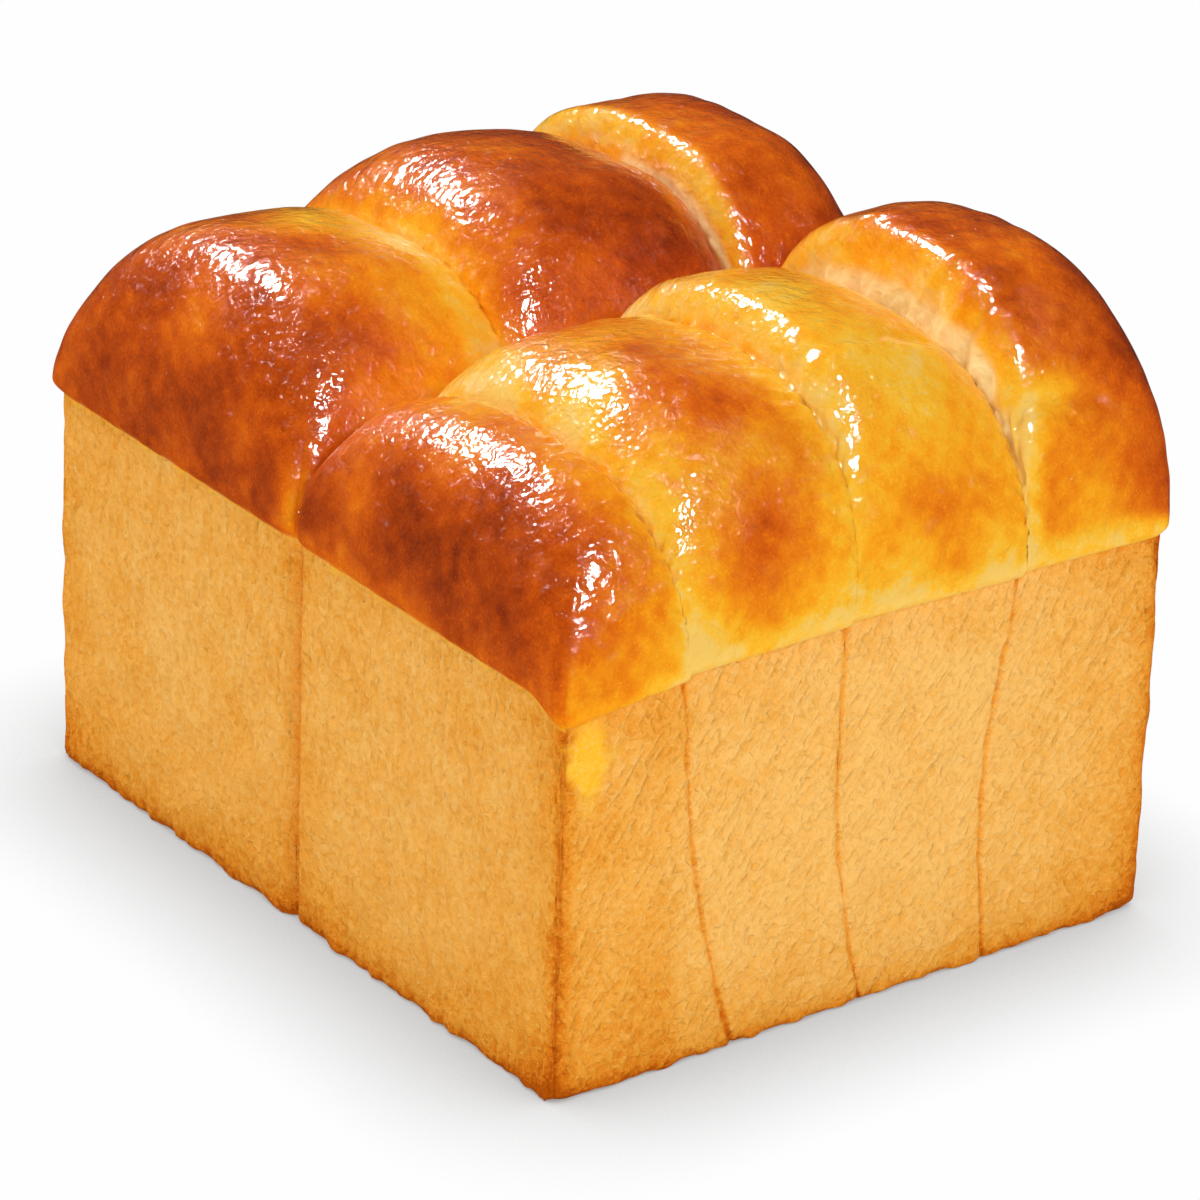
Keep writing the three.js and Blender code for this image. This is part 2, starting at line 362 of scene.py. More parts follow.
# %% Browning of each dome
ALONG_KEYS = [-1, -0.75, -0.5, -0.25, 0, 0.5, 0.75, 1]
ACROSS_KEYS = [0, 0.05, 0.14, 0.3, 0.5, 0.75, 1]
BROWNING = {
    "right_row": [
        {
            "along": [0.66, 0.86, 0.82, 0.68, 0.50, 0.36, 0.24, 0.12],
            "across": [-0.42, -0.24, -0.16, -0.05, 0.00, -0.08, -0.14],
        },
        {
            "along": [0.06, 0.12, 0.26, 0.38, 0.46, 0.38, 0.24, 0.12],
            "across": [-0.10, -0.12, 0.03, 0.02, 0.00, -0.08, -0.10],
            "lip": 0.25,
        },
        {
            "along": [0.10, 0.06, 0.08, 0.12, 0.16, 0.20, 0.16, 0.08],
            "across": [0.00, 0.03, 0.11, 0.00, 0.00, 0.05, 0.05],
            "lip": 0.25,
        },
        {
            "along": [0.16, 0.16, 0.20, 0.30, 0.60, 0.92, 0.94, 0.92],
            "across": [-0.36, -0.26, -0.17, 0.00, 0.00, -0.06, -0.12],
            "lip": 0.30,
        },
    ],
    "left_row": [
        {
            "along": [0.72, 0.80, 0.78, 0.70, 0.54, 0.30, 0.08, 0.06],
            "across": [-0.10, -0.08, -0.06, -0.01, 0.00, 0.06, -0.17],
        },
        {
            "along": [0.04, 0.32, 0.54, 0.60, 0.64, 0.70, 0.62, 0.50],
            "across": [-0.03, -0.03, -0.03, -0.03, 0.00, 0.14, -0.16],
        },
        {
            "along": [0.22, 0.16, 0.12, 0.18, 0.55, 0.82, 0.84, 0.82],
            "across": [0.00, 0.00, 0.00, 0.00, 0.00, 0.08, 0.02],
        },
    ],
}
PATCHES = {
    "right_row": [
        (0, 30, 16, 14, 13, -0.22),
        (0, 40, 44, 16, 28, 0.08),
        (0, 57, 118, 14, 22, -0.13),
        (1, 28, 85, 13, 8, 0.13),
        (1, 40, 69, 11, 8, 0.14),
        (1, 39, 36, 14, 14, 0.10),
        (2, 36, 26, 15, 10, 0.16),
        (3, 33, 40, 15, 5, -0.30),
        (3, 22, 74, 16, 3, 0.12),
        (3, 36, 108, 4, 14, 0.16),
        (3, 14, 100, 10, 60, -0.06),
    ],
    "left_row": [
        (0, 36, 113, 14, 26, -0.10),
        (0, 22, 181, 20, 15, -0.42),
        (1, 10, 62, 10, 26, 0.16),
    ],
}
PALE_LIP = 3.5
LIP_BLEND = 7
BLOTCH = (26, 0.045)
MOTTLE = (6.5, 0.030)


def soft_interp(value, keys, levels):
    position = np.interp(value, keys, range(len(keys)))
    whole = np.clip(np.floor(position).astype(int), 0, len(keys) - 2)
    part = smooth(position - whole)
    levels = np.array(levels)
    return levels[whole] * (1 - part) + levels[whole + 1] * part


def browning_grid(row, station, point, grid):
    place = station["place"]
    result = np.zeros((len(place), len(point["y"])))
    for k, dome in enumerate(BROWNING[row["name"]]):
        own = station["dome"] == k
        along = soft_interp(place[own], ALONG_KEYS, dome["along"])
        across = soft_interp(point["across"], ACROSS_KEYS, dome["across"])
        lip = dome.get("lip", 1)
        kept = lip + (1 - lip) * smooth((point["arc"] - PALE_LIP) / LIP_BLEND)
        result[own] = (along[:, None] + across[None, :]) * kept
    for dome, past, arc, half_length, half_width, amount in PATCHES[row["name"]]:
        own = station["dome"] == dome
        along = (station["past"][own] - past) / half_length
        across = (point["arc"] - arc) / half_width
        result[own] += amount * np.exp(-(along[:, None] ** 2) - across[None, :] ** 2)
    blotches = BLOTCH[1] * lumps(grid, BLOTCH[0], SEEDS["blotch"])
    result += blotches + MOTTLE[1] * lumps(grid, MOTTLE[0], SEEDS["mottle"])
    return result


for row in ROWS:
    station, point = stations_along(row), points_across(row)
    levels = browning_grid(row, station, point, crust_grid(row, station, point))
    print(row["name"], "browning from", levels.min().round(2), "to", levels.max().round(2))

# %% [markdown]
# Some folds have a place of their own: the soft creases over the third dome, the ribbons of skin
# and the slit on the tallest one, the thin edge of skin along the first one. Each is a short
# path on one dome, given as distance past the seam before the dome and distance up over the
# arch from the rim, with a half width and a lift. A negative lift is a crease.

# %% Folds with their own place
FOLDS = {
    "right_row": [
        (0, [(71, 62), (72, 100), (71, 160)], 2.6, 0.45),
        (2, [(2, 75), (14, 73.5), (30, 72), (54, 72)], 1.6, -0.8),
        (2, [(2, 68), (14, 67), (30, 66), (54, 66)], 4.5, 0.7),
        (2, [(26, 38), (45, 38), (64, 39)], 1.6, -0.4),
        (3, [(5, 81), (16, 77), (26, 73), (36, 73)], 2.4, 2.0),
        (3, [(8, 74), (18, 69.5), (29, 66.5), (38, 66)], 1.7, -1.4),
        (3, [(16, 92), (24, 86), (32, 84)], 2.0, 1.0),
        (3, [(30, 122), (37, 114), (41, 104), (48, 97)], 2.6, 1.5),
        (3, [(14, 44), (27, 39.5), (36, 38), (52, 37)], 1.7, -2.2),
        (3, [(14, 33), (28, 31), (48, 30)], 4.5, 1.4),
    ],
    "left_row": [
        (2, [(4, 120), (16, 116), (28, 113)], 2.2, 0.7),
        (2, [(3, 148), (14, 143), (26, 140)], 2.0, 0.6),
    ],
}


def path_distance(past, arc, path):
    nearest = np.full(np.broadcast(past, arc).shape, np.inf)
    for (p0, a0), (p1, a1) in zip(path[:-1], path[1:]):
        along, over = p1 - p0, a1 - a0
        t = np.clip(((past - p0) * along + (arc - a0) * over) / (along**2 + over**2), 0, 1)
        nearest = np.minimum(nearest, np.hypot(past - p0 - t * along, arc - a0 - t * over))
    return nearest


def fold_relief(row, station, point):
    relief = np.zeros((len(station["x"]), len(point["arc"])))
    for dome, path, half_width, lift in FOLDS[row["name"]]:
        own = station["dome"] == dome
        distance = path_distance(station["past"][own][:, None], point["arc"][None, :], path)
        relief[own] += lift * np.exp(-((distance / half_width) ** 2))
    return relief


print("folds:", {name: len(folds) for name, folds in FOLDS.items()})

# %% [markdown]
# Where the third and the tallest dome pulled apart in the oven, the skin tore and pale crumb
# shows, and a little between the last two domes of the left row. Each strip has its dome, where
# it starts and ends past the seam, and how far up the arch it runs. Torn is a share from 0 to 1
# over the crust. It brings lumps of crumb and takes away both the browning and the glaze.

# %% The torn strip
TORN_STRIPS = {
    "right_row": [(3, 3, 15, 52, 152), (3, 2, 8, 40, 56)],
    "left_row": [(2, 2, 8, 100, 165)],
}
STRIP_FADE = 5


def torn_grid(row, station, point):
    torn = np.zeros((len(station["x"]), len(point["arc"])))
    for dome, start, end, low, high in TORN_STRIPS[row["name"]]:
        own = station["dome"] == dome
        past, arc = station["past"][own][:, None], point["arc"][None, :]
        begun = smooth((past - start) / STRIP_FADE + 0.5)
        ended = smooth((past - end) / STRIP_FADE + 0.5)
        across = smooth((arc - low) / STRIP_FADE) * (1 - smooth((arc - high) / STRIP_FADE))
        torn[own] = np.maximum(torn[own], begun * (1 - ended) * across)
    return torn


print("torn strips:", {name: len(strips) for name, strips in TORN_STRIPS.items()})

# %% [markdown]
# Relief of the crust: a broad unevenness, puckers that cross each seam, wider ones down the front
# flank of the tallest dome, the folds, and lumps of crumb on the torn strip. Relief of the walls:
# the waver that the tin's paper-thin gap leaves, slanting streaks where dough was dragged up the
# tin as it rose, and a lumpy foot. Each is (size, height).

# %% Relief of crust and walls
BROAD = (38, 0.24)
MEDIUM = (12, 0.10)
PUCKER = {"right_row": (4.8, 0.40), "left_row": (5.4, 0.30)}
PUCKER_STRETCH = (3.2, 1, 1)
PUCKER_REACH = 17
FLANK_PUCKER = (7.5, 0.75)
FLANK_RISE = 4
FLANK_REACH = 30
TALLEST = 3
CRUMB = (3.6, 0.36)
WALL_WAVER = (17, 0.26)
WALL_STREAK = (4.4, 0.20)
STREAK_STRETCH = (4.5, 1, 1)
BASE_LUMP = (8, 0.38)
BASE_LUMP_REACH = 4
INNER_FADE = 7
SIDE_SLANT = math.radians(52)
END_SLANT = math.radians(80)
DOME_OFFSET = 200.0


def crust_relief(row, station, point, grid):
    arc = point["arc"][None, :]
    past = station["past"][:, None]
    flat = np.stack(np.broadcast_arrays(past, arc, station["dome"][:, None] * DOME_OFFSET), axis=-1)
    relief = BROAD[1] * lumps(grid, BROAD[0], SEEDS["broad"])
    relief += MEDIUM[1] * lumps(grid, MEDIUM[0], SEEDS["medium"])
    near = 1 - smooth(station["seam_reach"][:, None] / PUCKER_REACH)
    size, height = PUCKER[row["name"]]
    relief += height * near * lumps(flat, size, SEEDS["pucker"], PUCKER_STRETCH)
    on_tallest = (station["dome"] == TALLEST)[:, None]
    flank = on_tallest * smooth(past / FLANK_RISE) * (1 - smooth(past / FLANK_REACH))
    relief += FLANK_PUCKER[1] * flank * lumps(flat, FLANK_PUCKER[0], SEEDS["flank"], PUCKER_STRETCH)
    relief += fold_relief(row, station, point)
    crumb = np.tanh(lumps(grid, CRUMB[0], SEEDS["crumb"]))
    return relief + CRUMB[1] * torn_grid(row, station, point) * crumb


def wall_relief(points, end_face):
    along = np.where(end_face > 0.5, points[:, 1], points[:, 0])
    angle = np.where(end_face > 0.5, END_SLANT, SIDE_SLANT)
    turned = np.stack([
        along * np.cos(angle) + points[:, 2] * np.sin(angle),
        points[:, 2] * np.cos(angle) - along * np.sin(angle),
        end_face * DOME_OFFSET,
    ], axis=-1)
    waver = WALL_WAVER[1] * lumps(points, WALL_WAVER[0], SEEDS["waver"])
    corner_fade = (2 * end_face - 1) ** 2
    streaks = lumps(turned, WALL_STREAK[0], SEEDS["streak"], STREAK_STRETCH)
    streaks = WALL_STREAK[1] * corner_fade * streaks
    near_foot = np.exp(-points[:, 2] / BASE_LUMP_REACH)
    foot = BASE_LUMP[1] * near_foot * lumps(points, BASE_LUMP[0], SEEDS["foot"])
    inner_fade = smooth(np.abs(points[:, 1]) / INNER_FADE)
    return (waver + streaks + foot) * inner_fade


print("relief of crust and walls ready")

# %% [markdown]
# The rim isn't level all round: dough filled the front corner less, so the lip dips there, and
# each dome's lip ends a little higher or lower than its neighbour's. The walls are toasted
# unevenly as well: browner at the corners and along the bottom, where the tin was hottest, and
# on the panel below the first dome. Both are read from short lists along the row. At the front
# corner a tongue of yellow skin runs a little way down the wall.

# %% The lip's line and the toasting of the walls
LIP_LINE_X = [-100, -88, -75, -61.2, -60.8, -8.2, -7.8, 49.8, 50.2, 100]
LIP_LINE_Z = [-5, -3.5, -2.2, -1.2, 0.4, 0.4, 1.6, -0.4, 0.9, -0.6]
LIP_REACH = 16
LINE_WAVER = (7, 0.5)
WALL_BLOTCH = (24, 0.035)
SKIN_PLACE = (-92, 101)
SKIN_HALF = (6.5, 14)
SKIN_INSET = 4
SKIN_BLEND = 3
SKIN_LEAST = 0.05
SKIN_EDGE = 4.5
SKIN_BROWNING = 0.12
SIDE_TOAST_X = [-100, -92, -64, -58, -20, 30, 60, 88, 100]
SIDE_TOAST = [0.55, 0.38, 0.34, 0.16, 0.08, 0.06, 0.16, 0.34, 0.62]
END_TOAST_Y = [0, 10, 60, 105, 120]
END_TOAST = [0.44, 0.30, 0.24, 0.34, 0.52]
HEIGHT_TOAST_Z = [0, 4, 12, 30, 60, 95, 114]
HEIGHT_TOAST = [0.85, 0.42, 0.20, 0.06, 0.0, 0.04, 0.10]
CORNER_TOAST = 0.30
CORNER_REACH = 3.5
# Seams on the walls are coloured darker: partly browner crust, partly painted shade of the narrow
# groove.
SEAM_TOAST_AND_SHADE = 0.38
SEAM_LINE = 0.8


def lip_shift(row, places):
    if row["side"] > 0:
        return np.zeros(len(places))
    line = np.interp(places[:, 0], LIP_LINE_X, LIP_LINE_Z)
    near_rim = 1 - smooth(np.abs(places[:, 2] - RIM_HEIGHT) / LIP_REACH)
    return line * near_rim * smooth((np.abs(places[:, 1]) - ROW_WIDTH + LIP_REACH) / LIP_REACH)


def skin_below_rim(row, places):
    if row["side"] > 0:
        return np.full(len(places), -RIM_HEIGHT)
    along = (places[:, 0] - SKIN_PLACE[0]) / SKIN_HALF[0]
    down = (places[:, 2] - SKIN_PLACE[1]) / SKIN_HALF[1]
    on_side = smooth((np.abs(places[:, 1]) - ROW_WIDTH + SKIN_INSET) / SKIN_BLEND)
    share = np.exp(-(along**2) - down**2) * on_side
    return np.where(share > SKIN_LEAST, SKIN_EDGE * (share - 0.5), -RIM_HEIGHT)


def wall_toast(row, places, end_face):
    side = np.interp(places[:, 0], SIDE_TOAST_X, SIDE_TOAST)
    end = np.interp(np.abs(places[:, 1]), END_TOAST_Y, END_TOAST)
    toast = side * (1 - end_face) + end * end_face
    toast = toast + np.interp(places[:, 2], HEIGHT_TOAST_Z, HEIGHT_TOAST)
    from_end = HALF_LENGTH - np.abs(places[:, 0])
    from_side = ROW_WIDTH - np.abs(places[:, 1])
    corner = np.hypot(np.maximum(from_end, 0), np.maximum(from_side, 0))
    toast = toast + WALL_BLOTCH[1] * lumps(places, WALL_BLOTCH[0], SEEDS["toast"])
    return toast + CORNER_TOAST * np.exp(-((corner / CORNER_REACH) ** 2))


print("the lip dips by", -min(LIP_LINE_Z), "mm at the front corner")

# %% [markdown]
# One closed mesh for each row: the crust grid, the rings down the walls and a fan underneath.
# The rings start at the crust's own edge points, so nothing gapes along the rim.

# %% One row as a mesh
def outline_of(stations, points):
    last_station, last_point = stations - 1, points - 1
    out = [(i, 0) for i in range(last_station)]
    out += [(last_station, j) for j in range(last_point)]
    out += [(i, last_point) for i in range(last_station, 0, -1)]
    out += [(0, j) for j in range(last_point, 0, -1)]
    return np.array(out)


def quads(ids):
    corners = [ids[:-1, :-1], ids[:-1, 1:], ids[1:, 1:], ids[1:, :-1]]
    return np.stack(corners, axis=-1).reshape(-1, 4)


def row_mesh(row):
    station = stations_along(row)
    point = points_across(row)
    grid = crust_grid(row, station, point)
    stations, points = grid.shape[:2]
    crust_ids = np.arange(stations * points).reshape(stations, points)
    outline = outline_of(stations, points)
    levels = wall_levels()
    ring_x = station["x"][outline[:, 0]]
    ring_y = point["y"][outline[:, 1]]
    ring_across = point["across"][outline[:, 1]]
    rings = np.stack([wall_ring(row, ring_x, ring_y, ring_across, z) for z in levels])
    ring_ids = stations * points + np.arange(rings[..., 0].size).reshape(rings.shape[:2])
    hoops = np.concatenate([crust_ids[outline[:, 0], outline[:, 1]][None, :], ring_ids])
    hoops = np.concatenate([hoops, hoops[:, :1]], axis=1)
    centre = stations * points + ring_ids.size
    places = np.concatenate([grid.reshape(-1, 3), rings.reshape(-1, 3), [[0, ROW_WIDTH / 2, 0]]])
    faces = np.concatenate([quads(crust_ids), quads(hoops.T)[:, ::-1]])
    fan = np.stack([hoops[-1, :-1], hoops[-1, 1:], np.full(len(outline), centre)], axis=-1)
    places[:, 1] *= row["side"]
    if row["side"] < 0:
        faces, fan = faces[:, ::-1], fan[:, ::-1]
    mesh = bpy.data.meshes.new(row["name"])
    mesh.from_pydata((places * MM).tolist(), [], faces.tolist() + fan.tolist())
    seam_near = np.exp(-((seam_distance(row, ring_x) / SEAM_LINE) ** 2)) * (ring_across == 0)
    seam_near = np.append(np.tile(seam_near, len(levels)), 0)
    return mesh, station, point, grid, places, seam_near


for row in ROWS:
    edge = outline_of(len(stations_along(row)["x"]), len(points_across(row)["y"]))
    print(row["name"], "has", len(edge), "points round its rim")

# %% [markdown]
# The relief moves each point along the smooth surface's own normal, and fades to nothing at
# the underside so that the loaf stands flat. What would leave the solid's box is brought back
# to it, so that the looks keep the object's size. The mesh carries what the material has to
# know: browning, toast with its painted seam shade, torn, height over the rim and end wall or
# side wall.

# %% Relief and paint on a row
BOX_LOW = np.array(cad_box[0]) / MM
BOX_HIGH = np.array(cad_box[1]) / MM
BOX_MARGIN = 0.02
RELIEF_START = 6
BASE_FADE = 0.6
END_FACE_START = 6
END_FACE_BLEND = 6


def mesh_normals(mesh):
    normals = np.empty(len(mesh.vertices) * 3, np.float32)
    mesh.vertices.foreach_get("normal", normals)
    return normals.reshape(-1, 3)


def add_attribute(mesh, name, values):
    attribute = mesh.attributes.new(name, "FLOAT", "POINT")
    attribute.data.foreach_set("value", values.astype(np.float32))


def make_row(row):
    mesh, station, point, grid, places, seam_near = row_mesh(row)
    normals = mesh_normals(mesh)
    crust_count = grid.shape[0] * grid.shape[1]
    is_wall = np.arange(len(places)) >= crust_count
    end_face = smooth((np.abs(places[:, 0]) - HALF_LENGTH + END_FACE_START) / END_FACE_BLEND)
    relief = np.zeros(len(places))
    relief[:crust_count] = crust_relief(row, station, point, grid).ravel()
    relief[is_wall] = wall_relief(places[is_wall], end_face[is_wall])
    over_rim = places[:, 2] - RIM_HEIGHT
    wall_fade = smooth(-over_rim / RELIEF_START) * smooth(places[:, 2] / BASE_FADE)
    relief *= np.where(is_wall, wall_fade, smooth(over_rim / RELIEF_START))
    moved = places + normals * relief[:, None]
    moved[:, 2] += lip_shift(row, places)
    moved = np.clip(moved, BOX_LOW + BOX_MARGIN, BOX_HIGH - BOX_MARGIN)
    moved[places[:, 2] == 0, 2] = 0
    mesh.vertices.foreach_set("co", (moved * MM).astype(np.float32).ravel())

    brown = np.zeros(len(places))
    torn = np.zeros(len(places))
    brown[:crust_count] = browning_grid(row, station, point, grid).ravel()
    torn[:crust_count] = torn_grid(row, station, point).ravel()
    toast = wall_toast(row, places, end_face)
    # Painted shade along each wall seam, added to the toasting of its crust.
    toast[is_wall] += SEAM_TOAST_AND_SHADE * seam_near
    add_attribute(mesh, "toast", toast)
    add_attribute(mesh, "torn", torn)
    waver = LINE_WAVER[1] * lumps(places, LINE_WAVER[0], SEEDS["rim_line"])
    skin = skin_below_rim(row, places)
    brown = np.where(is_wall, SKIN_BROWNING, brown)
    add_attribute(mesh, "over_rim", np.maximum(over_rim, skin) + waver)
    add_attribute(mesh, "browning", brown)
    add_attribute(mesh, "end_face", end_face)
    mesh.shade_smooth()
    mesh.validate()
    loaf_row = bpy.data.objects.new(row["name"], mesh)
    bpy.context.scene.collection.objects.link(loaf_row)
    mesh.calc_loop_triangles()
    print(row["name"], "has", len(mesh.loop_triangles), "triangles")
    return loaf_row


rows = [make_row(RIGHT_ROW), make_row(LEFT_ROW)]

# %% [markdown]
# Colours are given as sRGB hex and turned to linear once. One helper adds a shader node with
# its settings and links and hands back one of its outputs, so that a material reads as a recipe.

# %% Helpers for materials
def linear(hex_colour):
    parts = [int(hex_colour[i:i + 2], 16) / 255 for i in (1, 3, 5)]
    curved = [c / 12.92 if c <= 0.04045 else ((c + 0.055) / 1.055) ** 2.4 for c in parts]
    return (*curved, 1.0)


def add_node(tree, kind, inputs, settings=None, output=0):
    node = tree.nodes.new(kind)
    for name, value in (settings or {}).items():
        setattr(node, name, value)
    for name, value in inputs.items():
        if isinstance(value, bpy.types.NodeSocket):
            tree.links.new(value, node.inputs[name])
        else:
            node.inputs[name].default_value = value
    return node.outputs[output] if node.outputs else None


def set_ramp(ramp, stops):
    while len(ramp.elements) < len(stops):
        ramp.elements.new(0.5)
    for element, (position, colour) in zip(ramp.elements, stops):
        element.position = position
        element.color = linear(colour)


def per_metre(size_mm):
    return 1 / (size_mm * MM)


MULTIPLY_ADD = {"operation": "MULTIPLY_ADD"}
MULTIPLY = {"operation": "MULTIPLY"}
SUBTRACT = {"operation": "SUBTRACT"}
ABSOLUTE = {"operation": "ABSOLUTE"}
SMOOTH_STEP = {"interpolation_type": "SMOOTHSTEP"}
print("mid brown is", [round(c, 3) for c in linear("#c55614")[:3]])

# %% [markdown]
# Baked crust is a film of starch and protein, browned by heat, under a thin hard glaze of egg
# wash: to the eye, deep glossy browns on the domes. Where the tin held it, it is dry, pale and
# dimpled. The material starts with what the mesh carries, and with the grain of the dough: a
# coarse and a fine one, the dimples of the walls, the ripple of the glaze, hair-fine swirls, and
# streaks that slant up the side walls and stand upright on the end walls. A grain has its size
# in millimetres, detail, roughness, distortion and direction. Real pores and fibres are too fine
# to show at this distance, so they are drawn at one to three millimetres. The streaks fade out
# at the corners, where one direction takes over from the other, and lower down.

# %% Grain of the dough
GRAINS = {
    "coarse": (2.7, 2.0, 0.55, 1.0, "place"),
    "fine": (1.15, 1.0, 0.5, 0.0, "place"),
    "swirl": (3.2, 1.0, 0.5, 2.4, "place"),
    "dimple": (2.2, 1.0, 0.5, 0.7, "place"),
    "ripple": (3.0, 1.0, 0.4, 0.4, "place"),
    "side_streak": (2.3, 1.0, 0.5, 0.3, "side_way"),
    "end_streak": (2.6, 1.0, 0.5, 0.5, "end_way"),
}
SIDE_STREAK_LENGTH = 7
END_STREAK_LENGTH = 2.6
END_STREAK_TILT = 0.15
STREAK_HEIGHTS = (25 * MM, 90 * MM)
STREAK_SHARES = (0.45, 1.0)
SWIRL_WIDTH = 0.04
SPECK_LEVELS = (0.68, 0.76)

baked_crust = bpy.data.materials.new("baked_crust")
baked_crust.use_nodes = True
crust = baked_crust.node_tree
crust.nodes.clear()
painted = {
    name: add_node(crust, "ShaderNodeAttribute", {}, {"attribute_name": name}, "Fac")
    for name in ("browning", "toast", "torn", "over_rim", "end_face")
}
ways = {"place": add_node(crust, "ShaderNodeTexCoord", {}, output="Object")}
for name, turn, stretch in (
    ("side_way", (0, -SIDE_SLANT, 0), (SIDE_STREAK_LENGTH, 1, 1)),
    ("end_way", (END_STREAK_TILT, 0, 0), (1, 1, END_STREAK_LENGTH)),
):
    turned = {"Vector": ways["place"], "Rotation": turn, "Scale": stretch}
    ways[name] = add_node(crust, "ShaderNodeMapping", turned, {"vector_type": "TEXTURE"})
grains = {}
for name, (size, detail, roughness, distortion, way) in GRAINS.items():
    grains[name] = add_node(crust, "ShaderNodeTexNoise", {
        "Vector": ways[way],
        "Scale": per_metre(size),
        "Detail": detail,
        "Roughness": roughness,
        "Distortion": distortion,
    }, output="Fac")

streak = add_node(crust, "ShaderNodeMix", {
    "Factor": painted["end_face"],
    "A": grains["side_streak"],
    "B": grains["end_streak"],
}, output="Result")
streak = add_node(crust, "ShaderNodeMath", {0: streak, 1: 0.5}, SUBTRACT)
both_ways = {0: painted["end_face"], 1: 2.0, 2: -1.0}
from_corner = add_node(crust, "ShaderNodeMath", both_ways, MULTIPLY_ADD)
from_corner = add_node(crust, "ShaderNodeMath", {0: from_corner}, ABSOLUTE)
height_up = add_node(crust, "ShaderNodeSeparateXYZ", {"Vector": ways["place"]}, output="Z")
high_up = add_node(crust, "ShaderNodeMapRange", {
    "Value": height_up,
    "From Min": STREAK_HEIGHTS[0],
    "From Max": STREAK_HEIGHTS[1],
    "To Min": STREAK_SHARES[0],
    "To Max": STREAK_SHARES[1],
}, SMOOTH_STEP)
streak = add_node(crust, "ShaderNodeMath", {0: streak, 1: from_corner}, MULTIPLY)
streak = add_node(crust, "ShaderNodeMath", {0: streak, 1: high_up}, MULTIPLY)

swirl = add_node(crust, "ShaderNodeMath", {0: grains["swirl"], 1: 0.5}, SUBTRACT)
swirl = add_node(crust, "ShaderNodeMath", {0: swirl}, ABSOLUTE)
swirl = add_node(crust, "ShaderNodeMapRange", {
    "Value": swirl,
    "From Max": SWIRL_WIDTH,
    "To Min": 1.0,
    "To Max": 0.0,
}, SMOOTH_STEP)
speck_range = {"Value": grains["fine"], "From Min": SPECK_LEVELS[0], "From Max": SPECK_LEVELS[1]}
specks = add_node(crust, "ShaderNodeMapRange", speck_range, SMOOTH_STEP)
print("grains:", list(grains))

# %% [markdown]
# Browned crust goes from cream over yellow, orange and brown to mahogany. The walls share the
# material, because on bread one turns into the other over a few millimetres: dry and pale, with
# pale raised swirls, and darker where the dimples and streaks sink, partly from toasting and
# partly as painted shade in the hollows. The coarse and fine grain and the dimples have a mean
# of a half, which each level gives back. Torn skin shows cream crumb.

# %% Colours of crust and walls
CRUST_RAMP = [
    (0.00, "#f9ca62"), (0.12, "#ffbe2a"), (0.28, "#fda214"), (0.45, "#ef800a"),
    (0.60, "#dd6205"), (0.76, "#bb4702"), (0.90, "#943302"), (1.00, "#712202"),
]
WALL_RAMP = [
    (0.00, "#fec36a"), (0.30, "#f8b04c"), (0.55, "#f09c31"), (0.78, "#e07d18"), (1.00, "#be5807"),
]
CRUMB_COLOUR = "#ffe7a4"
COARSE_SHARE = 0.13
FINE_SHARE = 0.16
DIMPLE_SHARE = 0.60
BROWNING_LAYERS = [
    (grains["coarse"], COARSE_SHARE),
    (grains["fine"], FINE_SHARE),
    (swirl, -0.09),
    (specks, -0.15),
]
BROWNING_LEVEL = -(COARSE_SHARE + FINE_SHARE) / 2
# The streaks and dimples darken the wall where they sink: partly toasting, partly painted shade in
# the hollows.
TOAST_AND_HOLLOW_SHADE_LAYERS = [(streak, -0.40), (grains["dimple"], -DIMPLE_SHARE), (swirl, -0.22)]
TOAST_LEVEL = DIMPLE_SHARE / 2
CRUST_EDGE = (-2.0, 1.2)

shades = {}
for name, layers, level, ramp in (
    ("browning", BROWNING_LAYERS, BROWNING_LEVEL, CRUST_RAMP),
    ("toast", TOAST_AND_HOLLOW_SHADE_LAYERS, TOAST_LEVEL, WALL_RAMP),
):
    value = add_node(crust, "ShaderNodeMath", {0: painted[name], 1: -level}, SUBTRACT)
    for layer, share in layers:
        value = add_node(crust, "ShaderNodeMath", {0: layer, 1: share, 2: value}, MULTIPLY_ADD)
    shades[name] = add_node(crust, "ShaderNodeValToRGB", {"Fac": value}, output="Color")
    set_ramp(shades[name].node.color_ramp, ramp)

on_crust = add_node(crust, "ShaderNodeMapRange", {
    "Value": painted["over_rim"],
    "From Min": CRUST_EDGE[0],
    "From Max": CRUST_EDGE[1],
}, SMOOTH_STEP)
COLOUR_MIX = {"data_type": "RGBA"}
crumbled = {"Factor": painted["torn"], "A": shades["browning"], "B": linear(CRUMB_COLOUR)}
crust_colour = add_node(crust, "ShaderNodeMix", crumbled, COLOUR_MIX, "Result")
joined = {"Factor": on_crust, "A": shades["toast"], "B": crust_colour}
loaf_colour = add_node(crust, "ShaderNodeMix", joined, COLOUR_MIX, "Result")
print("crust from", CRUST_RAMP[0][1], "to", CRUST_RAMP[-1][1])

# %% [markdown]
# Heights are in parts of BUMP_DEPTH, which is in metres. The glaze ripples over the crust and
# breaks the lights into clusters of white specks. The wall is dimpled like the paper-dry skin it
# is. The glaze itself is the shader's coat, thin and hard, and ends at the rim and on torn skin.

# %% Surface of crust and walls
BUMP_DEPTH = 0.0004
GLAZE_BUMPS = [(grains["ripple"], 1.7), (grains["fine"], 0.28), (swirl, 0.06)]
WALL_BUMPS = [(streak, 4.2), (grains["dimple"], 3.4), (swirl, 0.06)]
GLAZE_EDGE = (1.0, 7.0)
CRUST_ROUGHNESS = 0.42
WALL_ROUGHNESS = 0.85
CRUST_IOR = 1.45
CRUST_SPECULAR = 0.03
GLAZE_IOR = 1.6
GLAZE_ROUGHNESS = 0.05

